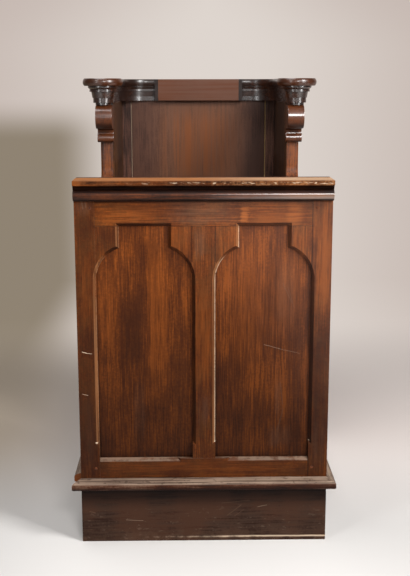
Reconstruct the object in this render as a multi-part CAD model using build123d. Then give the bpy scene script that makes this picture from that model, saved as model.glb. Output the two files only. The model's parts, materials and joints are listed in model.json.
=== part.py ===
from build123d import *
import os
from math import atan2, cos, degrees, radians, sin, sqrt, tan

# A single choir stall with its reading desk, both standing on one platform.
# Millimetres. +Z is up and the desk front faces -Y. While the pieces are made, Y is the depth behind
# the desk's front face. They are written out with the origin on the floor, under the middle.

# Whole object
WIDTH = 640.0  # across the desk frame and the stall's standards
DESK_TO_POST = 800.0  # desk face to the faces of the stall's posts
POST_TO_BACK = 420.0  # post faces to the face of the stall's back
CAP_TOP = 1200.0  # top of the capping above the floor
FIT = 0.2  # clearance round a tenon, tongue or panel edge
CUT_OVER = 2.0  # how far a cutter stands proud of the timber it cuts

# Platform
PLINTH_H = 150.0
PLINTH_T = 22.0
FLOOR_T = 27.0
FLOORBOARDS = 6
FLOOR_GAP = 1.0
JOISTS = 3
JOIST_W = 40.0
JOIST_H = 100.0
NOSING_OUT = 23.0
NOSING_FALL = 8.0  # drop of the nosing's weathered top
NOSING_ROUND = 10.0
NOSING_UNDER_ROUND = 4.0
LOST_TIP = 65.0  # length broken off the left nosing's overhang, from its mitre back

# Desk front
FRAME_T = 28.0
STILE_W = 50.0
MUNTIN_W = 58.0
BOTTOM_RAIL_H = 53.0
OPENING_H = 607.0
TOP_RAIL_H = 91.0
PANEL_T = 10.0
PANEL_RECESS = 12.0
PANEL_TONGUE = 8.0
TENON_L = 30.0
TENON_SHOULDER = 10.0
MUNTIN_TENON_L = 24.0
CHAMFER = 8.0
CHAMFER_ANGLE = 45.0
CHAMFER_STOP = 45.0  # plain length left at the foot of a chamfered edge
SILL_STOP = 40.0  # plain length of the sill beside the muntin
HEAD_W = 122.5  # flat head of each arch
SHOULDER_H = 55.0  # upright shoulder below the flat head
ARCH_R = 87.0
SPANDREL_TIP = 2.0  # blunt end of a spandrel

# Desk top and inside
LEDGE_T = 24.0
LEDGE_LIP = 12.0  # upright edge above the cove
LEDGE_ROUND = 3.0
LEDGE_OUT = 26.0
LEDGE_BACK = 74.0
BEAD_H = 28.0
BEAD_OUT = 21.0
BEAD_TOP_OUT = 13.0
BEAD_FOOT_OUT = 5.0
BOOK_SLOPE = 16.0
BOOK_L = 250.0
BOOK_T = 20.0
BOOK_OVERHANG = 15.0
LIP_T = 14.0
LIP_UP = 18.0
LIP_ROUND = 5.0
END_T = 24.0
END_FOOT_H = 60.0
END_COVE_R = 110.0
SHELF_T = 18.0
SHELF_DROP = 158.0  # shelf top below the underside of the ledge
SHELF_SET_BACK = 10.0
CLEAT_W = 20.0
CLEAT_H = 25.0
CLEAT_SET_BACK = 30.0

# Stall standards and brackets
STANDARD_T = 44.0
SEAT_H = 430.0  # seat top above the platform
HAND_REST_SHARE = 0.512  # hand rest's place between the seat and the underside of the capping
HAND_REST_R = 24.0
HAND_COVE_R = 48.0
POST_CHAMFER = 6.0
BRACKET_W = 51.5
ROLL_R = 37.0
ROLL_OUT = 56.0  # roll centre ahead of the post face
WAIST_OUT = 12.0
WAIST_COVE_R = 14.0
STEP_OUT = 19.0
STEP_EDGE = 3.0
TORUS_H = 27.0
TORUS_OUT = 27.0
NECK_H = 7.0
NECK_R = 24.0

# Capping
CAP_T = 75.0
ARM_IN = 15.0  # round arm end's centre inside the standard's outer face
ARM_OUT = 50.0  # arm end's centre ahead of the post face
ARM_END_R = 62.5
ARM_W = 62.0  # arm's inner edge inside the standard's outer face
ARM_OVERHANG = 4.0
ARM_RELIEF = 0.55  # depth of the arm's moulding as a share of the round end's
SHOULDER_R = 78.0
CAP_BLOCK_W = 289.0
CAP_FRONT = 30.0  # capping ahead of the stall's back
CAP_STOP = 12.0  # plain length left between the moulding and the block
CAP_ROLL_H = 23.0
CAP_ROLL_BACK = 5.0
CAP_RING_IN = 15.5
CAP_RING_H = 5.0
CAP_SPLAY_H = 6.0
CAP_BEAD_IN = 22.5
CAP_BEAD_H = 7.0
CAP_BEAD_OUT = 2.0
CAP_DRUM_IN = 26.0
CAP_DRUM_FOOT_IN = 29.5
CAP_DRUM_H = 19.0
CAP_FOOT_IN = 31.5

# Stall back
BACK_T = 26.0
BACK_STILE_W = 32.0
BACK_RAIL_H = 80.0
BACK_PANEL_T = 16.0
BACK_TONGUE = 9.0
BACK_TONGUE_T = 8.0
SHRINK_GAP = 3.0  # open joint beside the shrunken panel

# Seat
SEAT_T = 32.0
SEAT_SIDE_GAP = 3.0
SEAT_BACK_GAP = 6.0
SEAT_SET_BACK = 28.0  # seat front behind the standards' lower front edge
SEAT_ROUND = 10.0
HINGE_RAIL_D = 70.0
BEARER_W = 24.0
BEARER_H = 36.0
BEARER_SET_BACK = 28.0
CORBEL_R = 78.0  # the corbel's radii are half its widths across the flats
CORBEL_SIDES = 8
CORBEL_L = 120.0
CORBEL_SET_BACK = 20.0
CORBEL_EDGE = 14.0
CORBEL_NECK_R = 64.0  # body just behind the ledge
CORBEL_WAIST_R = 34.0
CORBEL_WAIST_L = 40.0
CORBEL_TIP_R = 14.0

# Seat hinges
HINGE_INSET = 106.0  # hinge middle from the nearer standard
HINGE_L = 66.0
HINGE_LEAF_T = 2.4
HINGE_LEAF_H = 24.0
KNUCKLE_R = 5.5
KNUCKLE_GAP = 0.6  # between neighbouring knuckles, and round each
KNUCKLE_ROOM = 1.0  # between a knuckle and the wood
PIN_R = 3.0
PIN_FIT = 0.05
PIN_END = 2.0

# Places worked out from the sizes above
HALF = WIDTH / 2
BACK_FACE = DESK_TO_POST + POST_TO_BACK
DEPTH = BACK_FACE + BACK_T
FLOOR_TOP = PLINTH_H + FLOOR_T
PLINTH_IN = HALF - PLINTH_T
NOSING_EDGE = HALF + NOSING_OUT
STILE_IN = HALF - STILE_W
MUNTIN_HALF = MUNTIN_W / 2
SILL = FLOOR_TOP + BOTTOM_RAIL_H
HEAD = SILL + OPENING_H
OPENING_MID = (MUNTIN_HALF + STILE_IN) / 2
OPENING_HALF = (STILE_IN - MUNTIN_HALF) / 2
ARCH_CENTRE = OPENING_HALF - ARCH_R
SPRING = HEAD - SHOULDER_H - sqrt(ARCH_R**2 - (HEAD_W / 2 - ARCH_CENTRE) ** 2)
LEDGE_UNDER = HEAD + TOP_RAIL_H
DESK_TOP = LEDGE_UNDER + LEDGE_T
TENON_Y0 = PANEL_RECESS
TENON_Y1 = PANEL_RECESS + PANEL_T
BOOK_ANGLE = radians(BOOK_SLOPE)
END_IN = HALF - END_T
END_TOP_RUN = BOOK_L - BOOK_OVERHANG
END_BACK = LEDGE_BACK + END_TOP_RUN * cos(BOOK_ANGLE)
SHELF_TOP = LEDGE_UNDER - SHELF_DROP
SHELF_UNDER = SHELF_TOP - SHELF_T
STANDARD_IN = HALF - STANDARD_T
CAP_UNDER = CAP_TOP - CAP_T
SEAT_TOP = FLOOR_TOP + SEAT_H
SEAT_UNDER = SEAT_TOP - SEAT_T
HAND_REST = SEAT_TOP + HAND_REST_SHARE * (CAP_UNDER - SEAT_TOP)
STANDARD_FRONT = DESK_TO_POST - HAND_COVE_R
ARM_X = HALF - ARM_IN
ARM_EDGE = HALF - ARM_W
CAP_FACE = BACK_FACE - CAP_FRONT
CAP_BLOCK_HALF = CAP_BLOCK_W / 2
BACK_STILE_IN = STANDARD_IN - BACK_STILE_W
HINGE_X = STANDARD_IN - HINGE_INSET
HINGE_RAIL_FACE = BACK_FACE - HINGE_RAIL_D
HINGE_Y = HINGE_RAIL_FACE - SEAT_BACK_GAP / 2
SEAT_BACK = HINGE_RAIL_FACE - SEAT_BACK_GAP
SEAT_FRONT = STANDARD_FRONT + SEAT_SET_BACK
FRONT_REACH = max(LEDGE_OUT, NOSING_OUT)
ORIGIN_SHIFT = (FRONT_REACH - DEPTH) / 2

pieces = {}


def timber(x0, x1, y0, y1, z0, z1):
    """Squared timber between two corners."""
    return Pos((x0 + x1) / 2, (y0 + y1) / 2, (z0 + z1) / 2) * Box(x1 - x0, y1 - y0, z1 - z0)


def slot(x0, x1, y0, y1, z0, z1):
    """Room for a tenon, tongue or panel edge of the given corners."""
    return timber(x0 - FIT, x1 + FIT, y0 - FIT, y1 + FIT, z0 - FIT, z1 + FIT)


def across(outline, x0, x1):
    """A (depth, height) outline carried across the width from x0 to x1."""
    return Pos(x0, 0, 0) * extrude(Plane.YZ * make_face(outline), x1 - x0)


def closed(*points):
    """A straight-sided outline."""
    return Polyline(*points, close=True)


def arc_about(centre, start, end):
    """The shorter arc round a centre from start to end."""
    middle = Vector(*centre)
    first = Vector(*start) - middle
    bulge = (first + Vector(*end) - middle).normalized() * first.length
    return ThreePointArc(start, middle + bulge, end)


def pair(name, right):
    """Keeps a right-hand piece and its mirrored left-hand fellow."""
    pieces[name + "_right"] = right
    pieces[name + "_left"] = mirror(right, about=Plane.YZ)


# Platform
def nosing_section():
    """Section of the nosing: outward along x from the face of the plinth, upward along y."""
    corners = closed(
        (-PLINTH_T, PLINTH_H),
        (NOSING_OUT, PLINTH_H),
        (NOSING_OUT, FLOOR_TOP - NOSING_FALL),
        (0, FLOOR_TOP),
        (-PLINTH_T, FLOOR_TOP),
    )
    edge = make_face(corners).vertices().group_by(Axis.X)[-1].sort_by(Axis.Y)
    rounded = fillet(edge[1], NOSING_ROUND)
    foot = rounded.vertices().group_by(Axis.X)[-1].sort_by(Axis.Y)[0]
    return fillet(foot, NOSING_UNDER_ROUND)


def make_platform():
    pieces["plinth_front"] = timber(-HALF, HALF, 0, PLINTH_T, 0, PLINTH_H)
    pieces["plinth_back"] = timber(-HALF, HALF, DEPTH - PLINTH_T, DEPTH, 0, PLINTH_H)
    pair("plinth_side", timber(PLINTH_IN, HALF, PLINTH_T, DEPTH - PLINTH_T, 0, PLINTH_H))

    joist_span = 2 * PLINTH_IN - JOIST_W
    for number in range(JOISTS):
        x = -joist_span / 2 + number * joist_span / (JOISTS - 1)
        pieces[f"joist_{number + 1}"] = timber(
            x - JOIST_W / 2, x + JOIST_W / 2, PLINTH_T, DEPTH - PLINTH_T, PLINTH_H - JOIST_H, PLINTH_H
        )

    run = DEPTH - PLINTH_T
    board = (run - FLOORBOARDS * FLOOR_GAP) / FLOORBOARDS
    for number in range(FLOORBOARDS):
        y = PLINTH_T + FLOOR_GAP + number * (board + FLOOR_GAP)
        pieces[f"floorboard_{number + 1}"] = timber(
            -PLINTH_IN, PLINTH_IN, y, y + board, PLINTH_H, FLOOR_TOP
        )

    # The front strip runs to both corners, and each side strip meets it in a mitre.
    outer = (NOSING_EDGE, -NOSING_OUT)
    inner = (PLINTH_IN, PLINTH_T)
    beyond = NOSING_EDGE + CUT_OVER
    front_waste = closed(outer, inner, (beyond, PLINTH_T), (beyond, -NOSING_OUT))
    side_waste = closed(outer, inner, (PLINTH_IN, -NOSING_OUT))
    front_cut = extrude(make_face(front_waste), FLOOR_TOP)
    side_cut = extrude(make_face(side_waste), FLOOR_TOP)

    looking_across = Plane((NOSING_EDGE, 0, 0), x_dir=(0, -1, 0), z_dir=(-1, 0, 0))
    front = extrude(looking_across * nosing_section(), 2 * NOSING_EDGE)
    pieces["nosing_front"] = front - front_cut - mirror(front_cut, about=Plane.YZ)

    looking_along = Plane((HALF, DEPTH, 0), x_dir=(1, 0, 0), z_dir=(0, -1, 0))
    side = extrude(looking_along * nosing_section(), DEPTH + NOSING_OUT) - side_cut
    tip = timber(-NOSING_EDGE, -HALF, -NOSING_OUT, LOST_TIP - NOSING_OUT, 0, FLOOR_TOP)
    pieces["nosing_right"] = side
    pieces["nosing_left"] = mirror(side, about=Plane.YZ) - tip


# Desk front
def opening_outline():
    """Outline of the chamfered part of the right-hand opening, in (x, z)."""
    foot = SILL + CHAMFER_STOP
    shoulder = HEAD - SHOULDER_H
    head_left = OPENING_MID - HEAD_W / 2
    head_right = OPENING_MID + HEAD_W / 2
    return [
        Polyline((MUNTIN_HALF, SPRING), (MUNTIN_HALF, foot), (STILE_IN, foot), (STILE_IN, SPRING)),
        arc_about((OPENING_MID + ARCH_CENTRE, SPRING), (STILE_IN, SPRING), (head_right, shoulder)),
        Polyline((head_right, shoulder), (head_right, HEAD), (head_left, HEAD), (head_left, shoulder)),
        arc_about((OPENING_MID - ARCH_CENTRE, SPRING), (head_left, shoulder), (MUNTIN_HALF, SPRING)),
    ]


def front_plane(depth):
    """Plane of the desk front at a depth behind its face, with x to the right and y upward."""
    return Plane((0, depth, 0), x_dir=(1, 0, 0), z_dir=(0, -1, 0))


def chamfer_cutter():
    """Cuts the stopped chamfer round the right-hand opening."""
    inside = front_plane(CHAMFER) * make_face(opening_outline())
    return extrude(inside, CHAMFER + CUT_OVER, taper=-CHAMFER_ANGLE)


def sill_cutter():
    """Cuts the chamfer of the right-hand sill, which stops short of the muntin."""
    stop = MUNTIN_HALF + SILL_STOP
    spread = CHAMFER + CUT_OVER
    above = SILL + CUT_OVER
    inside = closed((stop, SILL), (STILE_IN, SILL), (STILE_IN, above), (stop, above))
    outside = closed(
        (stop - spread, SILL - spread), (STILE_IN, SILL - spread), (STILE_IN, above), (stop - spread, above)
    )
    faces = [front_plane(CHAMFER) * make_face(inside), front_plane(-CUT_OVER) * make_face(outside)]
    return loft(faces, ruled=True)


def spandrel():
    """Corner piece between the right-hand stile and the top rail, in front of the panel."""
    centre = OPENING_MID + ARCH_CENTRE
    corner = (OPENING_MID + HEAD_W / 2, HEAD - SHOULDER_H)
    tip_x = STILE_IN - SPANDREL_TIP
    tip_z = SPRING + sqrt(ARCH_R**2 - (tip_x - centre) ** 2)
    outline = [
        Polyline((tip_x, tip_z), (STILE_IN, tip_z), (STILE_IN, HEAD), (corner[0], HEAD), corner),
        arc_about((centre, SPRING), corner, (tip_x, tip_z)),
    ]
    return extrude(front_plane(PANEL_RECESS) * make_face(outline), PANEL_RECESS)


def make_desk_front():
    chamfer_right = chamfer_cutter()
    chamfers = [chamfer_right, mirror(chamfer_right, about=Plane.YZ)]
    sill_right = sill_cutter()
    sills = [sill_right, mirror(sill_right, about=Plane.YZ)]
    panel_x0 = MUNTIN_HALF - PANEL_TONGUE
    panel_x1 = STILE_IN + PANEL_TONGUE
    panel_box = (panel_x0, panel_x1, TENON_Y0, TENON_Y1, SILL - PANEL_TONGUE, HEAD + PANEL_TONGUE)
    grooves = [slot(*panel_box), mirror(slot(*panel_box), about=Plane.YZ)]
    pair("desk_panel", timber(*panel_box))

    # Rails run between the stiles, and their tenons lie in line with the panel groove.
    rail_end = STILE_IN + TENON_L
    rail_tenon = (-rail_end, rail_end, TENON_Y0, TENON_Y1)
    bottom_tenon = (*rail_tenon, FLOOR_TOP + TENON_SHOULDER, SILL - TENON_SHOULDER)
    top_tenon = (*rail_tenon, HEAD + TENON_SHOULDER, LEDGE_UNDER - TENON_SHOULDER)
    muntin_end = MUNTIN_HALF - TENON_SHOULDER
    muntin_foot = SILL - MUNTIN_TENON_L
    muntin_top = HEAD + MUNTIN_TENON_L
    muntin_tenon = (-muntin_end, muntin_end, TENON_Y0, TENON_Y1, muntin_foot, muntin_top)

    bottom_rail = timber(-STILE_IN, STILE_IN, 0, FRAME_T, FLOOR_TOP, SILL) + timber(*bottom_tenon)
    pieces["desk_bottom_rail"] = bottom_rail - grooves - slot(*muntin_tenon) - sills
    top_rail = timber(-STILE_IN, STILE_IN, 0, FRAME_T, HEAD, LEDGE_UNDER) + timber(*top_tenon)
    pieces["desk_top_rail"] = top_rail - grooves - slot(*muntin_tenon) - chamfers
    muntin = timber(-MUNTIN_HALF, MUNTIN_HALF, 0, FRAME_T, SILL, HEAD) + timber(*muntin_tenon)
    pieces["desk_muntin"] = muntin - grooves - chamfers

    stile = timber(STILE_IN, HALF, 0, FRAME_T, FLOOR_TOP, LEDGE_UNDER)
    pair("desk_stile", stile - slot(*bottom_tenon) - slot(*top_tenon) - grooves[0] - chamfer_right)

    outer = spandrel() - chamfer_right
    to_muntin = Plane((OPENING_MID, 0, 0), x_dir=(0, 1, 0), z_dir=(1, 0, 0))
    pair("spandrel_outer", outer)
    pair("spandrel_inner", mirror(outer, about=to_muntin))


# Desk top and inside
def make_desk_top():
    bead_foot = LEDGE_UNDER - BEAD_H
    bead = [
        Line((0, LEDGE_UNDER), (0, bead_foot)),
        Line((0, bead_foot), (-BEAD_FOOT_OUT, bead_foot)),
        ThreePointArc(
            (-BEAD_FOOT_OUT, bead_foot),
            (-BEAD_OUT, bead_foot + BEAD_H / 2),
            (-BEAD_TOP_OUT, LEDGE_UNDER),
        ),
        Line((-BEAD_TOP_OUT, LEDGE_UNDER), (0, LEDGE_UNDER)),
    ]
    pieces["bead_moulding"] = across(bead, -HALF, HALF)

    cove_r = LEDGE_T - LEDGE_LIP
    ledge = [
        Line((LEDGE_BACK, DESK_TOP), (LEDGE_ROUND - LEDGE_OUT, DESK_TOP)),
        arc_about(
            (LEDGE_ROUND - LEDGE_OUT, DESK_TOP - LEDGE_ROUND),
            (LEDGE_ROUND - LEDGE_OUT, DESK_TOP),
            (-LEDGE_OUT, DESK_TOP - LEDGE_ROUND),
        ),
        Line((-LEDGE_OUT, DESK_TOP - LEDGE_ROUND), (-LEDGE_OUT, DESK_TOP - LEDGE_LIP)),
        arc_about(
            (-LEDGE_OUT, LEDGE_UNDER), (-LEDGE_OUT, DESK_TOP - LEDGE_LIP), (cove_r - LEDGE_OUT, LEDGE_UNDER)
        ),
        Line((cove_r - LEDGE_OUT, LEDGE_UNDER), (LEDGE_BACK, LEDGE_UNDER)),
        Line((LEDGE_BACK, LEDGE_UNDER), (LEDGE_BACK, DESK_TOP)),
    ]
    pieces["desk_ledge"] = across(ledge, -HALF, HALF)

    # The book board slopes down from the back of the ledge towards the singer.
    slope = Plane(
        (-HALF, LEDGE_BACK, LEDGE_UNDER), x_dir=(0, cos(BOOK_ANGLE), -sin(BOOK_ANGLE)), z_dir=(1, 0, 0)
    )
    board = closed((0, 0), (BOOK_L, 0), (BOOK_L, BOOK_T), (-BOOK_T * tan(BOOK_ANGLE), BOOK_T))
    pieces["book_board"] = extrude(slope * make_face(board), WIDTH)
    lip_top = BOOK_T + LIP_UP
    lip = make_face(closed((BOOK_L, 0), (BOOK_L + LIP_T, 0), (BOOK_L + LIP_T, lip_top), (BOOK_L, lip_top)))
    lip = fillet(lip.vertices().group_by(Axis.Y)[-1], LIP_ROUND)
    pieces["book_lip"] = extrude(slope * lip, WIDTH)


def make_desk_inside():
    waist = END_BACK - END_COVE_R
    hollow_foot = FLOOR_TOP + END_FOOT_H
    hollow_top = SHELF_UNDER - CLEAT_H
    cove_foot = hollow_foot + END_COVE_R
    cove_top = hollow_top - END_COVE_R
    end_top = LEDGE_UNDER - END_TOP_RUN * sin(BOOK_ANGLE)
    end = [
        Polyline((FRAME_T, FLOOR_TOP), (END_BACK, FLOOR_TOP), (END_BACK, hollow_foot)),
        arc_about((END_BACK, cove_foot), (END_BACK, hollow_foot), (waist, cove_foot)),
        Line((waist, cove_foot), (waist, cove_top)),
        arc_about((END_BACK, cove_top), (waist, cove_top), (END_BACK, hollow_top)),
        Polyline(
            (END_BACK, hollow_top),
            (END_BACK, end_top),
            (LEDGE_BACK, LEDGE_UNDER),
            (FRAME_T, LEDGE_UNDER),
            (FRAME_T, FLOOR_TOP),
        ),
    ]
    pair("desk_end", across(end, END_IN, HALF))
    shelf_back = END_BACK - SHELF_SET_BACK
    pieces["book_shelf"] = timber(-END_IN, END_IN, FRAME_T, shelf_back, SHELF_UNDER, SHELF_TOP)
    cleat_back = END_BACK - CLEAT_SET_BACK
    cleat = timber(END_IN - CLEAT_W, END_IN, FRAME_T, cleat_back, hollow_top, SHELF_UNDER)
    pair("shelf_cleat", cleat)


# Stall
def make_standards():
    nose_z = HAND_REST - HAND_REST_R
    post_foot = HAND_REST + HAND_COVE_R
    outline = [
        Polyline((DEPTH, FLOOR_TOP), (STANDARD_FRONT, FLOOR_TOP), (STANDARD_FRONT, nose_z - HAND_REST_R)),
        ThreePointArc(
            (STANDARD_FRONT, nose_z - HAND_REST_R),
            (STANDARD_FRONT - HAND_REST_R, nose_z),
            (STANDARD_FRONT, HAND_REST),
        ),
        arc_about((STANDARD_FRONT, post_foot), (STANDARD_FRONT, HAND_REST), (DESK_TO_POST, post_foot)),
        Polyline(
            (DESK_TO_POST, post_foot), (DESK_TO_POST, CAP_UNDER), (DEPTH, CAP_UNDER), (DEPTH, FLOOR_TOP)
        ),
    ]
    standard = across(outline, STANDARD_IN, HALF)
    upright = standard.edges().filter_by(Axis.Z)
    post_edges = upright.filter_by_position(Axis.Y, DESK_TO_POST, DESK_TO_POST)
    pair("standard", chamfer(post_edges, POST_CHAMFER))


def make_brackets():
    top = CAP_UNDER - NECK_H
    roll_y = DESK_TO_POST - ROLL_OUT
    roll_z = top - ROLL_R
    waist_y = DESK_TO_POST - WAIST_OUT
    step_y = DESK_TO_POST - STEP_OUT
    cove_y = waist_y - WAIST_COVE_R
    cove_top = roll_z - ROLL_R
    step_z = cove_top - WAIST_COVE_R
    torus_y = DESK_TO_POST - TORUS_OUT
    torus_z = step_z - STEP_EDGE
    foot = torus_z - TORUS_H
    outline = [
        Line((DESK_TO_POST, foot), (DESK_TO_POST, top)),
        Line((DESK_TO_POST, top), (roll_y, top)),
        ThreePointArc((roll_y, top), (roll_y - ROLL_R, roll_z), (roll_y, cove_top)),
        Line((roll_y, cove_top), (cove_y, cove_top)),
        arc_about((cove_y, step_z), (cove_y, cove_top), (waist_y, step_z)),
        Polyline((waist_y, step_z), (step_y, step_z), (step_y, torus_z)),
        ThreePointArc((step_y, torus_z), (torus_y, torus_z - TORUS_H / 2), (step_y, foot)),
        Line((step_y, foot), (DESK_TO_POST, foot)),
    ]
    pair("scroll_bracket", across(outline, STANDARD_IN, STANDARD_IN + BRACKET_W))


def cap_moulding(place):
    """Edges of the capping's moulding from top to foot. place turns (inset, drop) into a point."""
    ring = CAP_ROLL_H
    splay = ring + CAP_RING_H
    bead = splay + CAP_SPLAY_H
    drum = bead + CAP_BEAD_H
    foot = drum + CAP_DRUM_H
    bead_edge = CAP_BEAD_IN - CAP_BEAD_OUT
    return [
        ThreePointArc(place(CAP_ROLL_BACK, 0), place(0, ring / 2), place(CAP_ROLL_BACK, ring)),
        Polyline(
            place(CAP_ROLL_BACK, ring),
            place(CAP_RING_IN, ring),
            place(CAP_RING_IN, splay),
            place(CAP_BEAD_IN, bead),
            place(bead_edge, bead),
            place(bead_edge, drum),
            place(CAP_DRUM_IN, drum),
            place(CAP_DRUM_FOOT_IN, foot),
            place(CAP_FOOT_IN, foot),
            place(CAP_FOOT_IN, CAP_T),
        ),
    ]


def turned_arm_end():
    """Round arm end with its moulding and the neck that stands on the bracket."""

    def place(inset, drop):
        return (ARM_END_R - inset, CAP_TOP - drop)

    foot_r = ARM_END_R - CAP_FOOT_IN
    neck_foot = CAP_UNDER - NECK_H
    outline = [
        Line((0, CAP_TOP), place(CAP_ROLL_BACK, 0)),
        *cap_moulding(place),
        Polyline((foot_r, CAP_UNDER), (NECK_R, CAP_UNDER), (NECK_R, neck_foot), (0, neck_foot), (0, CAP_TOP)),
    ]
    return Pos(ARM_X, DESK_TO_POST - ARM_OUT, 0) * revolve(Plane.XZ * make_face(outline), Axis.Z)


def capping_waste(edge):
    """Section cut away to leave the moulding: inward from the capping's edge, and upward."""

    def place(inset, drop):
        return (edge + ARM_RELIEF * inset, CAP_TOP - drop)

    return [
        *cap_moulding(place),
        Polyline(
            place(CAP_FOOT_IN, CAP_T),
            place(CAP_FOOT_IN, CAP_T + CUT_OVER),
            place(-CUT_OVER, CAP_T + CUT_OVER),
            place(-CUT_OVER, -CUT_OVER),
            place(CAP_ROLL_BACK, -CUT_OVER),
            place(CAP_ROLL_BACK, 0),
        ),
    ]


def make_capping():
    arm_front = DESK_TO_POST - ARM_OUT
    centre_x = ARM_EDGE - SHOULDER_R
    centre_y = CAP_FACE - SHOULDER_R
    outer = HALF + ARM_OVERHANG
    plan = [
        Polyline(
            (CAP_BLOCK_HALF, DEPTH),
            (outer, DEPTH),
            (outer, arm_front),
            (ARM_EDGE, arm_front),
            (ARM_EDGE, centre_y),
        ),
        arc_about((centre_x, centre_y), (ARM_EDGE, centre_y), (centre_x, CAP_FACE)),
        Polyline((centre_x, CAP_FACE), (CAP_BLOCK_HALF, CAP_FACE), (CAP_BLOCK_HALF, DEPTH)),
    ]
    blank = Pos(0, 0, CAP_UNDER) * extrude(make_face(plan), CAP_T)

    # The moulding is cut along the arm's inner edge, round the hollow shoulder and on towards the block.
    section = Pos(0, centre_y, 0) * (Plane.XZ * make_face(capping_waste(ARM_EDGE)))
    straight = extrude(section, centre_y - arm_front)
    hollow = revolve(section, Axis((centre_x, centre_y, 0), (0, 0, 1)), revolution_arc=90)
    run = across(capping_waste(CAP_FACE), CAP_BLOCK_HALF + CAP_STOP, centre_x)
    pair("arm_capping", blank - straight - hollow - run + turned_arm_end())
    pieces["capping_block"] = timber(-CAP_BLOCK_HALF, CAP_BLOCK_HALF, CAP_FACE, DEPTH, CAP_UNDER, CAP_TOP)


def make_back():
    panel_half = BACK_STILE_IN - SHRINK_GAP
    tongue_half = BACK_STILE_IN + BACK_TONGUE
    rail_top = FLOOR_TOP + BACK_RAIL_H
    tongue_y = BACK_FACE + (BACK_PANEL_T - BACK_TONGUE_T) / 2
    tongue = (-tongue_half, tongue_half, tongue_y, tongue_y + BACK_TONGUE_T, rail_top, CAP_UNDER)
    board = timber(-panel_half, panel_half, BACK_FACE, BACK_FACE + BACK_PANEL_T, rail_top, CAP_UNDER)
    pieces["back_panel"] = board + timber(*tongue)
    stile = timber(BACK_STILE_IN, STANDARD_IN, BACK_FACE, DEPTH, FLOOR_TOP, CAP_UNDER)
    pair("back_stile", stile - slot(*tongue))
    pieces["back_bottom_rail"] = timber(
        -BACK_STILE_IN, BACK_STILE_IN, BACK_FACE, DEPTH, FLOOR_TOP, rail_top
    )


# Seat and hinges
def hinge_rod(x0, x1, radius):
    """Round bar on the hinge line."""
    bar = Cylinder(radius, x1 - x0, rotation=(0, 90, 0))
    return Pos((x0 + x1) / 2, HINGE_Y, SEAT_TOP) * bar


def corbel_length(y0, y1, radius, end_radius):
    """Eight-sided length of the corbel round the seat's underside, tapering to end_radius."""
    plane = Plane((0, y0, SEAT_UNDER), x_dir=(1, 0, 0), z_dir=(0, 1, 0))
    turn = 180 / CORBEL_SIDES
    end = plane * RegularPolygon(radius, CORBEL_SIDES, major_radius=False, rotation=turn)
    taper = degrees(atan2(radius - end_radius, y1 - y0))
    return extrude(end, y1 - y0, taper=taper)


def make_seat():
    reach = HINGE_L / 2 + PIN_END + KNUCKLE_ROOM
    room_r = KNUCKLE_R + KNUCKLE_ROOM
    knuckle_room = [hinge_rod(x - reach, x + reach, room_r) for x in (-HINGE_X, HINGE_X)]
    rail = timber(-STANDARD_IN, STANDARD_IN, HINGE_RAIL_FACE, BACK_FACE, SEAT_UNDER, SEAT_TOP)
    pieces["hinge_rail"] = rail - knuckle_room
    bearer_x = STANDARD_IN - BEARER_W
    bearer_y = SEAT_FRONT + BEARER_SET_BACK
    bearer_z = SEAT_UNDER - BEARER_H
    pair("seat_bearer", timber(bearer_x, STANDARD_IN, bearer_y, BACK_FACE, bearer_z, SEAT_UNDER))

    seat_half = STANDARD_IN - SEAT_SIDE_GAP
    board = timber(-seat_half, seat_half, SEAT_FRONT, SEAT_BACK, SEAT_UNDER, SEAT_TOP)
    front_edges = board.edges().filter_by(Axis.X).group_by(Axis.Y)[0]
    pieces["seat"] = fillet(front_edges, SEAT_ROUND) - knuckle_room

    # Half-octagon corbel under the seat, a small ledge to lean on when the seat is up.
    ledge_y = SEAT_FRONT + CORBEL_SET_BACK
    neck_y = ledge_y + CORBEL_EDGE
    waist_y = neck_y + CORBEL_WAIST_L
    tip_y = ledge_y + CORBEL_L
    corbel = corbel_length(ledge_y, neck_y, CORBEL_R, CORBEL_R)
    corbel += corbel_length(neck_y, waist_y, CORBEL_NECK_R, CORBEL_WAIST_R)
    corbel += corbel_length(waist_y, tip_y, CORBEL_WAIST_R, CORBEL_TIP_R)
    pieces["misericord"] = split(corbel, bisect_by=Plane((0, 0, SEAT_UNDER)), keep=Keep.BOTTOM)


def leaf_notch(x0, x1):
    """Notch at the top of a leaf, where the other leaf's knuckle turns."""
    room = KNUCKLE_R + KNUCKLE_GAP
    return timber(x0, x1, SEAT_BACK, HINGE_RAIL_FACE, SEAT_TOP - room, SEAT_TOP + CUT_OVER)


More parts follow.
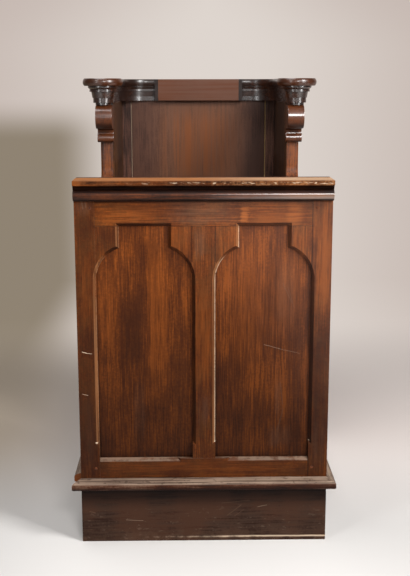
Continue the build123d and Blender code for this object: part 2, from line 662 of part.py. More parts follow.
def make_hinge(side, x):
    """One butt hinge: the rail's leaf has the outer knuckles, the seat's leaf the middle one."""
    x0 = x - HINGE_L / 2
    x1 = x + HINGE_L / 2
    third = HINGE_L / 3
    bore = hinge_rod(x0 - CUT_OVER, x1 + CUT_OVER, PIN_R + PIN_FIT)
    low = SEAT_TOP - HINGE_LEAF_H
    middle = (x0 + third + KNUCKLE_GAP / 2, x1 - third - KNUCKLE_GAP / 2)
    outer = [(x0, x0 + third - KNUCKLE_GAP / 2), (x1 - third + KNUCKLE_GAP / 2, x1)]

    rail_plate = timber(x0, x1, HINGE_RAIL_FACE - HINGE_LEAF_T, HINGE_RAIL_FACE, low, SEAT_TOP)
    rail_plate -= leaf_notch(middle[0] - KNUCKLE_GAP, middle[1] + KNUCKLE_GAP)
    rail_leaf = rail_plate + [hinge_rod(*span, KNUCKLE_R) for span in outer]
    pieces[f"hinge_rail_leaf_{side}"] = rail_leaf - bore

    seat_plate = timber(x0, x1, SEAT_BACK, SEAT_BACK + HINGE_LEAF_T, low, SEAT_TOP)
    seat_plate -= leaf_notch(x0 - CUT_OVER, middle[0])
    seat_plate -= leaf_notch(middle[1], x1 + CUT_OVER)
    pieces[f"hinge_seat_leaf_{side}"] = seat_plate + hinge_rod(*middle, KNUCKLE_R) - bore
    pieces[f"hinge_pin_{side}"] = hinge_rod(x0 - PIN_END, x1 + PIN_END, PIN_R)


make_platform()
make_desk_front()
make_desk_top()
make_desk_inside()
make_standards()
make_brackets()
make_capping()
make_back()
make_seat()
make_hinge("right", HINGE_X)
make_hinge("left", -HINGE_X)

os.makedirs("parts", exist_ok=True)
for name, piece in pieces.items():
    export_step(Pos(0, ORIGIN_SHIFT, 0) * piece, f"parts/{name}.step")
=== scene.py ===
import json
import math

import bmesh
import bpy
from bpy.props import FloatProperty, FloatVectorProperty, IntProperty, PointerProperty
from mathutils import Matrix, Vector

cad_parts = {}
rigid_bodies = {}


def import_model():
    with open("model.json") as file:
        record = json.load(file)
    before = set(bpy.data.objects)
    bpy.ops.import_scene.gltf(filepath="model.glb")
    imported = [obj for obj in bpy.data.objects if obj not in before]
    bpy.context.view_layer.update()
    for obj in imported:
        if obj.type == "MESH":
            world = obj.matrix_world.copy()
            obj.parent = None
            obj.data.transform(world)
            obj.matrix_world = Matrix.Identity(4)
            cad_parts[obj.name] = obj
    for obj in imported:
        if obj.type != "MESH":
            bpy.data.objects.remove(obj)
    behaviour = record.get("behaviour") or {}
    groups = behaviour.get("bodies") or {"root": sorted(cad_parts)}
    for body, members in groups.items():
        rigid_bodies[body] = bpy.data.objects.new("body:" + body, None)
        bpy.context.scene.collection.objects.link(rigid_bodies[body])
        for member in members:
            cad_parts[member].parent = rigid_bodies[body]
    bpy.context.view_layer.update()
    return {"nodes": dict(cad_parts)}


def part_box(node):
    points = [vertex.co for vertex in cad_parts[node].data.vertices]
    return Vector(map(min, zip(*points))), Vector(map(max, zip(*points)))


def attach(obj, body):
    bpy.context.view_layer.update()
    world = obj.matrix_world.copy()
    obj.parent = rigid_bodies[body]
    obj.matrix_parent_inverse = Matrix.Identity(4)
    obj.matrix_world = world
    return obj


for leftover in list(bpy.data.objects):
    bpy.data.objects.remove(leftover)
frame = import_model()

bl_info = {
    "name": "Choir stall finish",
    "version": (1, 0, 0),
    "blender": (4, 5, 0),
    "location": "3D View > Sidebar > Choir stall",
    "description": "Dresses the choir stall in old varnished oak and sets the studio round it",
    "category": "Object",
}

# Lines of the stall, read from the solids
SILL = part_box("desk_bottom_rail")[1].z
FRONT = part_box("desk_stile_right")[0].y
STILE_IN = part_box("desk_stile_right")[0].x
MUNTIN_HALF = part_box("spandrel_inner_right")[0].x
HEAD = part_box("spandrel_inner_right")[1].z
FLOOR_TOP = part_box("floorboard_1")[1].z
BACK_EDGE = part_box("back_stile_right")[0].x
BEAD_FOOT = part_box("bead_moulding")[0].z
CAP_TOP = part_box("capping_block")[1].z
BLOCK_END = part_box("capping_block")[1].x

# Sizes of the solids that their boxes don't give
CHAMFER = 0.008
LEAF_T = 0.0024

# Grain: how fine each noise is across and along it, or along x, y and z
FIBRE = (300.0, 15.0)
STREAK = (115.0, 2.5)
FIGURE = (26.0, 1.2)
GROWTH = (230.0, 1.8)
GROOVE = (260.0, 5.0)
CLOUD = (7.0, 7.0, 5.0)
GRIME = (37.0, 37.0, 37.0)
FLECK = (170.0, 170.0, 170.0)
# How far a piece's luck moves its grain along x, y and z
LUCK = (7.0, 3.0, 5.0)

# Tints that darken the wood: for dark joint lines and for painted shade under edges, and for
# painted shade deep in a cove
JOINT_AND_SHADE = (0.25, 0.22, 0.22)
COVE_SHADE = (0.1, 0.08, 0.07)

# Share of a mark's width and height over which it fades
MARK_SOFT = 0.22

# Marks on the front: tone, lowest and highest x, lowest and highest z, strength
PANEL_MARKS = (
    ("orange", -0.148, -0.088, 0.38, 0.8, 0.6),
    ("orange", -0.262, -0.222, 0.5, 0.72, 0.35),
    ("dark", -0.212, -0.15, 0.46, 0.68, 0.55),
    ("dark", -0.08, -0.032, 0.24, 0.6, 0.35),
    ("orange", 0.05, 0.15, 0.44, 0.82, 0.45),
    ("orange", 0.185, 0.255, 0.55, 0.8, 0.35),
    ("orange", 0.135, 0.215, 0.5, 0.76, 0.4),
    ("dark", 0.225, 0.262, 0.24, 0.66, 0.35),
    ("smoke", 0.165, 0.226, 0.255, 0.315, 0.33),
    ("smoke", 0.185, 0.205, 0.33, 0.45, 0.23),
    ("smoke", -0.178, -0.15, 0.27, 0.44, 0.2),
    ("smoke", 0.175, 0.235, 0.56, 0.76, 0.2),
)
FRAME_MARKS = (
    # The first row darkens the whole left stile: partly stain, partly painted shade of the side
    # away from the key lamp
    ("dark", -0.324, -0.268, 0.15, 0.95, 0.52),
    ("smoke", -0.318, -0.27, 0.865, 0.905, 0.26),
    ("dark", -0.32, -0.272, 0.79, 0.88, 0.35),
    ("orange", -0.31, -0.272, 0.56, 0.78, 0.4),
    ("dark", -0.32, -0.272, 0.18, 0.43, 0.4),
    ("smoke", -0.316, -0.28, 0.185, 0.425, 0.1),
    ("amber", 0.272, 0.32, 0.615, 0.845, 0.35),
    ("orange", 0.272, 0.32, 0.6, 0.92, 0.6),
    ("dark", 0.266, 0.322, 0.18, 0.598, 0.68),
    ("smoke", 0.272, 0.32, 0.2, 0.33, 0.16),
    ("orange", -0.026, 0.022, 0.42, 0.69, 0.65),
    ("smoke", -0.026, 0.01, 0.76, 0.835, 0.26),
    ("smoke", -0.016, 0.016, 0.32, 0.4, 0.26),
    ("orange", -0.092, -0.034, 0.76, 0.84, 0.7),
    ("orange", 0.036, 0.09, 0.745, 0.84, 0.45),
    ("dark", -0.262, -0.212, 0.76, 0.84, 0.45),
    ("orange", 0.212, 0.268, 0.74, 0.84, 0.55),
)
RAIL_MARKS = (
    ("orange", -0.267, -0.094, 0.843, 0.895, 0.36),
    ("amber", -0.23, -0.13, 0.85, 0.88, 0.18),
    ("smoke", -0.095, 0.09, 0.842, 0.908, 0.36),
    ("amber", 0.09, 0.112, 0.842, 0.89, 0.75),
    ("orange", 0.112, 0.268, 0.838, 0.902, 0.65),
    ("amber", 0.204, 0.246, 0.842, 0.9, 0.45),
    ("orange", -0.24, 0.24, 0.182, 0.226, 0.7),
    ("dark", -0.275, -0.242, 0.18, 0.226, 0.45),
    ("dark", 0.236, 0.275, 0.18, 0.226, 0.45),
)
# Scratches on the front: tone, first x and z, last x and z, half width, strength
FRONT_SCRATCHES = (
    ("chip_and_highlight", -0.309, 0.517, -0.296, 0.5125, 0.001, 0.75),
    ("chip_and_highlight", -0.297, 0.5125, -0.284, 0.5115, 0.0008, 0.6),
    ("chip_and_highlight", 0.153, 0.53, 0.1935, 0.519, 0.0006, 0.3),
    ("chip_and_highlight", 0.19, 0.519, 0.245, 0.507, 0.0005, 0.2),
    ("chip_and_highlight", -0.311, 0.405, -0.296, 0.402, 0.0007, 0.4),
    ("smoke", -0.3, 0.902, -0.297, 0.88, 0.0016, 0.7),
    ("smoke", -0.292, 0.9, -0.29, 0.884, 0.0012, 0.6),
    ("chip_and_highlight", -0.2795, 0.2738, -0.2745, 0.2732, 0.002, 0.9),
    ("chip_and_highlight", 0.0265, 0.2745, 0.03, 0.2735, 0.0018, 0.8),
    ("chip_and_highlight", 0.2705, 0.2765, 0.273, 0.2755, 0.0014, 0.5),
    ("smoke", 0.2, 0.69, 0.222, 0.64, 0.0012, 0.35),
    ("smoke", 0.212, 0.68, 0.23, 0.625, 0.001, 0.3),
    ("smoke", 0.196, 0.43, 0.204, 0.37, 0.0016, 0.35),
    ("smoke", 0.205, 0.36, 0.19, 0.3, 0.0016, 0.4),
)
PLINTH_SCRATCHES = (
    ("chip_and_highlight", -0.205, 0.06, -0.16, 0.0575, 0.0008, 0.18),
    ("chip_and_highlight", 0.14, 0.094, 0.165, 0.099, 0.0007, 0.16),
    ("smoke", 0.06, 0.07, 0.098, 0.1, 0.0012, 0.28),
    ("smoke", 0.08, 0.069, 0.104, 0.086, 0.001, 0.25),
    ("smoke", 0.045, 0.105, 0.12, 0.112, 0.001, 0.18),
    ("smoke", -0.3, 0.085, -0.285, 0.08, 0.0014, 0.45),
)

# Edges sharper than this are rounded and stay sharp in the shading
SHARP = math.radians(40.0)
# Facets that lie this flat are joined, and vertices this near in metres
FLAT = math.radians(0.5)
WELD = 0.00001
BEVEL_STEPS = 2

HINGE = ("hinge_rail_leaf", "hinge_seat_leaf", "hinge_pin")
# Screws of a hinge leaf: shares of its width and height, and the turn of the slot
SCREWS = ((0.17, 0.3, 0.7), (0.5, 0.16, 1.6), (0.83, 0.3, 2.5))
# Radius and height of a round head's rings, as shares of the head's own
HEAD_RINGS = ((1.0, 0.0), (0.96, 0.55), (0.72, 0.9))
PEG_RINGS = ((1.0, 0.0), (0.96, 0.55), (0.85, 0.9))
PEG_SIDES = 10

# Lamps: name, its power and place in the studio, what it points at, width and height in metres
LAMPS = (
    ("key_lamp", "key", "lamp_aim", (0.9, 1.1)),
    ("fill_lamp", "fill", "lamp_aim", (0.6, 0.8)),
    ("top_lamp", "top", "top_aim", (1.6, 1.6)),
    ("card_lamp", "card", "card_aim", (0.9, 0.5)),
    ("right_strip", "right_strip", "card_aim", (0.35, 1.7)),
    ("left_strip", "left_strip", "card_aim", (0.35, 1.7)),
    ("glint_card", "glint", "card_aim", (0.4, 0.3)),
)
ROOM_LIGHT = (1.0, 0.985, 0.97)

# Paper in metres: half its width, its front edge, its wall and top, and the bend between
PAPER_HALF = 11.0
PAPER_FRONT = -8.0
PAPER_BACK = 7.0
PAPER_TOP = 8.0
PAPER_BEND = 1.4
BEND_STEPS = 16

# Camera: sensor in millimetres, and how far it sees in metres
SENSOR = 36.0
FARTHEST = 60.0


# Values that a user would change
def value_of(kind, **options):
    """Maker of one kind of property."""

    def made(name, description, default):
        return kind(name=name, description=description, default=default, **options)

    return made


colour = value_of(FloatVectorProperty, subtype="COLOR", size=3, min=0.0, max=1.0)
place = value_of(FloatVectorProperty, subtype="TRANSLATION", size=3)
length = value_of(FloatProperty, unit="LENGTH", min=0.0001)
power = value_of(FloatProperty, unit="POWER", min=0.0)
angle = value_of(FloatProperty, subtype="ANGLE")
factor = value_of(FloatProperty, subtype="FACTOR", min=0.0)
focus = value_of(FloatProperty, unit="CAMERA", min=1.0)
count = value_of(IntProperty, min=8)


class StallFinish(bpy.types.PropertyGroup):
    """Stain, varnish and wear of the wood, and the iron of the hinges."""

    deep: colour("Deep stain", "Dark stripes of the grain", (0.054, 0.0138, 0.0041))
    dark: colour("Dark stain", "Darkest stain, in hollows and dense grain", (0.018, 0.0065, 0.0036))
    brown: colour("Brown stain", "Main stain of the oak", (0.107, 0.0268, 0.0055))
    orange: colour("Orange varnish", "Warm varnish where the stain is thin", (0.204, 0.0515, 0.008))
    amber: colour("Amber varnish", "Brightest varnish", (0.33, 0.094, 0.019))
    olive: colour("Olive varnish", "Old varnish gone olive", (0.09, 0.037, 0.01))
    wine: colour("Wine stain", "Dark stripes of the stall's back", (0.076, 0.0315, 0.02))
    plum: colour("Plum stain", "Purplish stain of the stall's back", (0.126, 0.054, 0.033))
    # The next two tones are also laid as painted light: a lighter tone and a pale line on the
    # chamfers facing the key lamp, and a painted highlight on the bead's right end
    worn_and_lit: colour("Worn edge", "Bare wood on rubbed edges", (0.43, 0.2, 0.085))
    chip_and_highlight: colour("Fresh chip", "Pale wood in chips and scratches", (0.64, 0.48, 0.34))
    smoke: colour("Smoke", "Greyish bloom on the old varnish", (0.125, 0.068, 0.042))
    soot: colour("Soot", "Blackened stain of the plinth", (0.036, 0.0185, 0.0115))
    dust: colour("Dust", "Dust on flat faces near the floor", (0.29, 0.205, 0.15))
    raw: colour("Raw oak", "Sawn oak without a finish", (0.3, 0.18, 0.09))
    iron: colour("Iron", "Dull iron of hinges and nails", (0.06, 0.055, 0.052))
    rust: colour("Rust", "Rust on the iron", (0.11, 0.04, 0.018))
    soft_edge: length("Soft edge", "Rounding of the rubbed edges", 0.0011)


class StallFittings(bpy.types.PropertyGroup):
    """Pegs, nails and screws."""

    peg: length("Peg", "Radius of a peg", 0.004)
    peg_proud: length("Peg height", "How far a peg stands out of the frame", 0.0004)
    peg_inset: length("Peg inset", "Pegs from the stile's inner edge", 0.0103)
    nail: length("Nail", "Radius of a nail head", 0.004)
    nail_proud: length("Nail height", "How far a nail head stands out of the floor", 0.0012)
    nail_inset: length("Nail inset", "Nails from a floorboard's edge", 0.035)
    joist_inset: length("Joist inset", "Nails from the joist's inner face", 0.01)
    screw: length("Screw", "Radius of a screw head", 0.0031)
    screw_proud: length("Screw height", "How far a screw head stands out of its leaf", 0.0003)
    screw_slot: length("Screw slot", "Width of the slot in a screw head", 0.0008)
    rounds: count("Sides", "Sides of a round head", 24)


class StallStudio(bpy.types.PropertyGroup):
    """Camera, floor, backdrop and lights."""

    eye: place("Camera", "Camera position", (-0.0373, -3.0414, 1.1784))
    pitch: angle("Pitch", "Camera tilt down", 0.2018)
    yaw: angle("Yaw", "Camera turn to the right", 0.0166)
    roll: angle("Roll", "Camera roll", -0.0013)
    lens: focus("Lens", "Focal length in millimetres", 61.91)
    floor: colour("Floor", "Paper of the floor", (0.758, 0.731, 0.706))
    floor_edge: colour("Floor edge", "Paper of the floor towards its sides", (0.65, 0.626, 0.605))
    floor_behind: colour("Floor behind", "Paper of the floor behind the stall", (0.76, 0.68, 0.64))
    floor_shade: colour("Floor shade", "Shaded floor behind, at the left", (0.54, 0.45, 0.355))
    wall: colour("Backdrop", "Backdrop behind the stall", (0.73, 0.665, 0.617))
    wall_edge: colour("Backdrop edge", "Backdrop towards its corners", (0.57, 0.488, 0.447))
    wall_shade: colour("Backdrop shade", "Foot of the backdrop, at the left", (0.275, 0.227, 0.17))
    tone_plane: length("Tone plane", "Depth at which the backdrop's tones are laid out", 3.0)
    lamp_aim: place("Aim", "Where the lamps point", (0.0, -0.3, 0.8))
    key_place: place("Key place", "Place of the right-hand lamp", (1.9, -1.9, 2.6))
    key: power("Key light", "Power of the right-hand lamp", 92.0)
    fill_place: place("Fill place", "Place of the left-hand lamp", (-1.85, -2.25, 2.7))
    fill: power("Fill light", "Power of the left-hand lamp", 14.0)
    top_place: place("Top place", "Place of the lamp overhead", (-0.7, -0.2, 3.6))
    top_aim: place("Top aim", "Where the lamp overhead points", (-0.7, -0.2, 0.0))
    top: power("Top light", "Power of the lamp overhead", 40.0)
    card_place: place("Card place", "Place of the pale card behind the camera", (0.6, -4.0, 2.4))
    card_aim: place("Card aim", "Where the cards and the strips face", (0.0, 0.0, 1.1))
    card: power("Card light", "Power of the pale card", 58.0)
    right_strip_place: place("Right strip", "Place of the strip at the right", (2.6, -2.9, 1.35))
    right_strip: power("Right strip light", "Power of the strip at the right", 38.0)
    left_strip_place: place("Left strip", "Place of the strip at the left", (-2.1, -3.0, 1.35))
    left_strip: power("Left strip light", "Power of the strip at the left", 17.0)
    glint_place: place("Glint place", "Place of the capping's card", (-0.43, -4.2, 1.1))
    glint: power("Glint light", "Power of the card that the capping mirrors", 2.5)
    ambient: factor("Ambient", "Strength of the room's light", 0.08)


# Node expressions
class Wire:
    """A socket in a node tree that takes part in sums: each operation adds its node."""

    def __init__(self, tree, socket=None):
        self.tree = tree
        self.socket = socket

    def node(self, kind, settings=(), links=(), output=0):
        """Adds a node: its settings first, then the values or links of its sockets."""
        made = self.tree.nodes.new(kind)
        for name, value in dict(settings).items():
            setattr(made, name, value)
        for key, value in dict(links).items():
            if isinstance(value, Wire):
                self.tree.links.new(value.socket, made.inputs[key])
            else:
                made.inputs[key].default_value = value
        return Wire(self.tree, made.outputs[output] if len(made.outputs) else None)

    def other(self, output):
        """Another output of the same node."""
        return Wire(self.tree, self.socket.node.outputs[output])

    def math(self, operation, *values, kind="ShaderNodeMath", output=0):
        """Adds a node that works on the values."""
        return self.node(kind, {"operation": operation}, dict(enumerate(values)), output)

    def vector(self, operation, *values, output="Vector"):
        """Adds a node that works on vectors."""
        return self.math(operation, *values, kind="ShaderNodeVectorMath", output=output)

    def __add__(self, value):
        return self.math("ADD", self, value)

    __radd__ = __add__

    def __sub__(self, value):
        return self.math("SUBTRACT", self, value)

    def __rsub__(self, value):
        return self.math("SUBTRACT", value, self)

    def __mul__(self, value):
        return self.math("MULTIPLY", self, value)

    __rmul__ = __mul__

    def __truediv__(self, value):
        return self.math("DIVIDE", self, value)

    def __abs__(self):
        return self.math("ABSOLUTE", self)


def step(value, low, high):
    """Smooth step from 0 at low to 1 at high, which may lie below low."""
    if low > high:
        return 1.0 - step(value, high, low)
    limits = {"Value": value, "From Min": low, "From Max": high}
    return value.node("ShaderNodeMapRange", {"interpolation_type": "SMOOTHSTEP"}, limits)


def band(value, low, high, soft):
    """1 between low and high, fading over soft on both sides."""
    return step(value, low - soft, low + soft) * step(value, high + soft, high - soft)


def noise(vector, sizes, detail, roughness, distortion=0.0):
    """Noise whose detail is as fine as sizes says along each axis, about 0.3 to 0.7."""
    scaled = vector.vector("MULTIPLY", vector, sizes)
    links = {"Vector": scaled, "Scale": 1.0, "Detail": detail, "Roughness": roughness}
    return vector.node("ShaderNodeTexNoise", {}, {**links, "Distortion": distortion})


def mix(amount, first, second, blend="MIX"):
    """Colour mix. Colours are sockets or red, green, blue."""
    first, second = (tone if isinstance(tone, Wire) else (*tone, 1.0) for tone in (first, second))
    settings = {"data_type": "RGBA", "blend_type": blend}
    # The colour sockets of this node are told apart by number only
    return amount.node("ShaderNodeMix", settings, {0: amount, 6: first, 7: second}, 2)


def ramp(value, stops):
    """Colour ramp through the stops, each a position and a tone's name."""
    made = value.node("ShaderNodeValToRGB", {}, {0: value})
    elements = made.socket.node.color_ramp.elements
    while len(elements) < len(stops):
        elements.new(1.0)
    for element, (position, name) in zip(elements, stops):
        element.position = position
        element.color = (*tone_of(name), 1.0)
    return made


def new_material(name):
    """Empty material, and in it the point on the surface, and the point's x, y and z."""
    material = bpy.data.materials.new(name)
    material.use_nodes = True
    material.node_tree.nodes.clear()
    point = Wire(material.node_tree).node("ShaderNodeTexCoord", output="Object")
    parts = point.node("ShaderNodeSeparateXYZ", links={0: point})
    return material, point, *(parts.other(axis) for axis in "XYZ")


def tone_of(name):
    """Colour of that name in the stall's finish."""
    return getattr(bpy.context.scene.stall_finish, name)


class Wood:
    """Grain of a board and what lies on it, built up before it goes to the shader."""

    def __init__(self, name, along):
        self.material, self.point, self.x, self.y, self.z = new_material(name)
        luck = self.point.node("ShaderNodeObjectInfo", output="Random")
        shift = luck.node("ShaderNodeCombineXYZ", links=dict(enumerate(luck * far for far in LUCK)))
        self.moved = luck.vector("ADD", self.point, shift)
        self.along = along
        self.fibre = noise(self.moved, self.grain(*FIBRE), 2.0, 0.6)
        self.streak = noise(self.moved, self.grain(*STREAK), 3.0, 0.6, 0.3)
        self.figure = noise(self.moved, self.grain(*FIGURE), 3.0, 0.5, 0.9)
        self.cloud = noise(self.moved, CLOUD, 3.0, 0.6)
        self.grime = noise(self.point, GRIME, 4.0, 0.65)
        self.fleck = noise(self.moved, FLECK, 2.0, 0.6)
        self.colour = None
        self.rough = self.grime * 0.22 + self.streak * 0.14 + 0.3
        self.height = self.fibre * 0.7 + self.streak * 0.3

    def grain(self, across, along):
        """Noise sizes across and along the grain."""
        return tuple(along if axis == self.along else across for axis in "XYZ")

    def stain(self, dark, brown, orange, lines=0.35):
        """Streaky stain with darker and warmer stripes, and the dark lines of the open grain."""
        value = self.figure * 0.24 + self.streak * 0.22 + self.cloud * 0.52
        value = value + self.fibre * 0.52 + self.fleck * 0.24
        self.colour = ramp(value, [(0.74, dark), (0.88, brown), (1.0, orange)])
        growth = noise(self.moved, self.grain(*GROWTH), 1.0, 0.4)
        self.lay(step(growth, 0.54, 0.64) * lines, dark)
        return self

    def oak(self, lines=0.4):
        """The stain that most of the stall has."""
        return self.stain("deep", "brown", "orange", lines)

    def lay(self, mask, name):
        """Lays a tone over the wood where the mask says."""
        self.colour = mix(mask, self.colour, tone_of(name))

    def shade(self, mask, tint):
        """Darkens or tints the wood by multiplying."""
        self.colour = mix(mask, self.colour, tint, "MULTIPLY")

    def ragged(self, strength):
        """Signed raggedness for the outlines of patches."""
        return (self.grime * 0.6 + self.streak * 0.8 + self.cloud * 0.6 - 1.0) * strength

    def marks(self, table):
        """Ragged patches of stain, varnish and bloom on the front, and of painted shade, broken up
        by the grain.
        """
        x = self.x + self.ragged(0.03)
        z = self.z + self.ragged(0.05)
        broken = 0.35 + 0.65 * step(self.fibre * 0.4 + self.streak * 0.6, 0.4, 0.58)
        for name, low_x, high_x, low_z, high_z, strength in table:
            spot = self.spread(x, low_x, high_x) * self.spread(z, low_z, high_z)
            self.lay(spot * broken * strength, name)

    @staticmethod
    def spread(value, low, high):
        """1 in the middle of a mark, fading towards its ends."""
        soft = MARK_SOFT * (high - low)
        return band(value, low + soft / 2, high - soft / 2, soft)

    def scratches(self, table):
        """Straight scratches and chips on the front."""
        wobble = self.ragged(0.004)
        for name, x0, z0, x1, z1, half, strength in table:
            span = Vector((x1 - x0, z1 - z0))
            way = span.normalized()
            along = (self.x - x0) * way.x + (self.z - z0) * way.y
            aside = (self.z - z0) * way.x - (self.x - x0) * way.y + wobble
            line = band(along, 0.0, span.length, half) * step(abs(aside), half * 1.3, half * 0.5)
            self.lay(line * strength, name)

    def normal(self):
        """Direction that the surface faces."""
        return self.point.node("ShaderNodeNewGeometry", output="Normal")

    def facing(self, axis, low=0.3, high=0.8):
        """1 on faces turned towards the positive axis, or the negative with a minus sign."""
        part = self.point.node("ShaderNodeSeparateXYZ", links={0: self.normal()}, output=axis[-1])
        return step(0.0 - part if axis[0] == "-" else part, low, high)

    def edges(self, radius):
        """1 along the arrises of the piece."""
        rounded = self.point.node("ShaderNodeBevel", {"samples": 6}, {"Radius": radius})
        near = self.point.vector("DOT_PRODUCT", self.normal(), rounded, output="Value")
        return step(1.0 - near, 0.04, 0.25)

    def wear(self, name, amount=0.6, radius=0.004):
        """Rubbed arrises, broken up by the grain."""
        rub = self.edges(radius) * step(self.grime * 0.6 + self.streak * 0.4, 0.44, 0.6)
        self.lay(rub * amount, name)
        self.rough = self.rough + rub * 0.15

    def specks(self, mask, name, sizes, low, high):
        """Small flecks of a tone inside the mask, as fine as sizes says along each axis."""
        self.lay(step(noise(self.point, sizes, 2.0, 0.5, 0.6), low, high) * mask, name)

    def foot(self, low, high, tint):
        """Darker towards the floor, below high: partly grime, partly painted shade of light that
        falls off lower down.
        """
        self.shade(step(self.z + self.ragged(0.1), high, low), tint)

    def front_finish(self):
        """Varnish kept at the top and the right of the desk front, and rubbed off below."""
        kept = step(self.x + self.z * 0.8 + self.ragged(0.15), 0.45, 0.95) * 0.5
        return self.finish(kept, shine=0.08, coat_rough=0.58)

    def finish(self, coat=0.0, shine=0.22, coat_rough=0.2, bump=0.2, depth=0.0006, coat_ior=1.5):
        """Puts colour, roughness and grain into the shader."""
        relief = {"Strength": bump, "Distance": depth, "Height": self.height}
        ground = self.point.node("ShaderNodeBump", {}, relief)
        wood = {"Base Color": self.colour, "Roughness": self.rough, "Normal": ground}
        coats = {"Coat Weight": coat, "Coat Roughness": coat_rough, "Coat IOR": coat_ior}
        values = {**wood, **coats, "Specular IOR Level": shine}
        shader = self.point.node("ShaderNodeBsdfPrincipled", {}, values)
        self.point.node("ShaderNodeOutputMaterial", {}, {"Surface": shader})
        return self.material


# Dressing of the pieces
def dress(nodes, material):
    """Gives CAD pieces their material."""
    for name in nodes:
        for slot in frame["nodes"][name].material_slots:
            slot.material = material


def both(*names):
    """Names of left and right pieces."""
    return [f"{name}_{side}" for name in names for side in ("left", "right")]


def numbered(name):
    """Names of the numbered pieces of a kind."""
    return sorted(node for node in frame["nodes"] if node.startswith(name + "_"))


def soft_shading():
    """Node group that shades smoothly and keeps the sharp edges."""
    group = bpy.data.node_groups.new("stall_soft_shading", "GeometryNodeTree")
    group.interface.new_socket("Geometry", in_out="INPUT", socket_type="NodeSocketGeometry")
    group.interface.new_socket("Geometry", in_out="OUTPUT", socket_type="NodeSocketGeometry")
    start = Wire(group)
    old = {"Geometry": start.node("NodeGroupInput"), "Name": "custom_normal"}
    mesh = start.node("GeometryNodeRemoveAttribute", {}, old)
    bend = start.node("GeometryNodeInputMeshEdgeAngle")
    sharp = start.math("GREATER_THAN", bend, SHARP, kind="FunctionNodeCompare")
    faces = {"Shade Smooth": True}
    edges = {"Selection": sharp, "Shade Smooth": False}
    for domain, chosen in (("FACE", faces), ("EDGE", edges)):
        links = {"Geometry": mesh, **chosen}
        mesh = start.node("GeometryNodeSetShadeSmooth", {"domain": domain}, links)
    start.node("NodeGroupOutput", {}, {0: mesh})
    return group


def soften(nodes, shading, width):
    """Rounds the edges of CAD pieces a little and smooths their shading, by modifiers."""
    for name in nodes:
        piece = frame["nodes"][name]
        weld = piece.modifiers.new("weld", "WELD")
        weld.merge_threshold = WELD
        flat = piece.modifiers.new("flat", "DECIMATE")
        flat.decimate_type = "DISSOLVE"
        flat.angle_limit = FLAT
        if width:
            bevel = piece.modifiers.new("soft_edge", "BEVEL")
            bevel.width = width
            bevel.segments = BEVEL_STEPS
            bevel.limit_method = "ANGLE"
            bevel.angle_limit = SHARP
        smooth = piece.modifiers.new("smooth", "NODES")
        smooth.node_group = shading
        even = piece.modifiers.new("even", "WEIGHTED_NORMAL")
        even.keep_sharp = True


def new_object(name, data):
    """Adds an object to the scene."""
    made = bpy.data.objects.new(name, data)
    bpy.context.scene.collection.objects.link(made)
    return made


def new_mesh(name, drawn, material):
    """Adds what was drawn in a bmesh."""
    mesh = bpy.data.meshes.new(name)
    drawn.to_mesh(mesh)
    drawn.free()
    mesh.materials.append(material)
    return new_object(name, mesh)


def new_piece(name, mesh, material, body):
    """Adds a piece to the stall that moves with a body."""
    piece = new_mesh(name, mesh, material)
    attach(piece, body)


def add_row(mesh, centre, out, radius, height, angles):
    """Row of vertices round a spot on a face. out is the face's outward direction."""
    turn = Vector(out).to_track_quat("Z", "Y")
    spots = ((radius * math.cos(around), radius * math.sin(around), height) for around in angles)
    return [mesh.verts.new(Vector(centre) + turn @ Vector(spot)) for spot in spots]


def add_sides(mesh, low, high):
    """Faces between two closed rows of vertices."""
    for number in range(len(low)):
        after = (number + 1) % len(low)
        mesh.faces.new((low[number], low[after], high[after], high[number]))


def add_head(mesh, centre, out, radius, proud, sides, rings):
    """Domed round head on a face, through its rings."""
    angles = [math.tau * number / sides for number in range(sides)]
    rows = [add_row(mesh, centre, out, radius * wide, proud * high, angles) for wide, high in rings]
    for low, high in zip(rows, rows[1:]):
        add_sides(mesh, low, high)
    top = mesh.verts.new(Vector(centre) + Vector(out) * proud)
    for number in range(sides):
        mesh.faces.new((rows[-1][number], rows[-1][(number + 1) % sides], top))


def add_slotted_head(mesh, centre, out, turned, radius, proud, slot, sides):
    """Flat screw head in two halves, one each side of its slot."""
    start = math.asin(slot / 2 / radius)
    part = (math.pi - 2 * start) * 2 / sides
    for side in (0.0, math.pi):
        angles = [turned + side + start + part * number for number in range(sides // 2 + 1)]
        low, high = (add_row(mesh, centre, out, radius, height, angles) for height in (0.0, proud))
        mesh.faces.new(high)
        add_sides(mesh, low, high)


def iron(name):
    """Dull iron with rust in patches."""
    metal = Wood(name, "X")
    metal.colour = mix(step(metal.grime, 0.45, 0.65), tone_of("iron"), tone_of("rust"))
    metal.height = metal.grime
    return metal.finish(shine=0.5, bump=0.3)


class StallStep:
    """What the stall's operators share."""

    bl_options = {"REGISTER", "UNDO"}


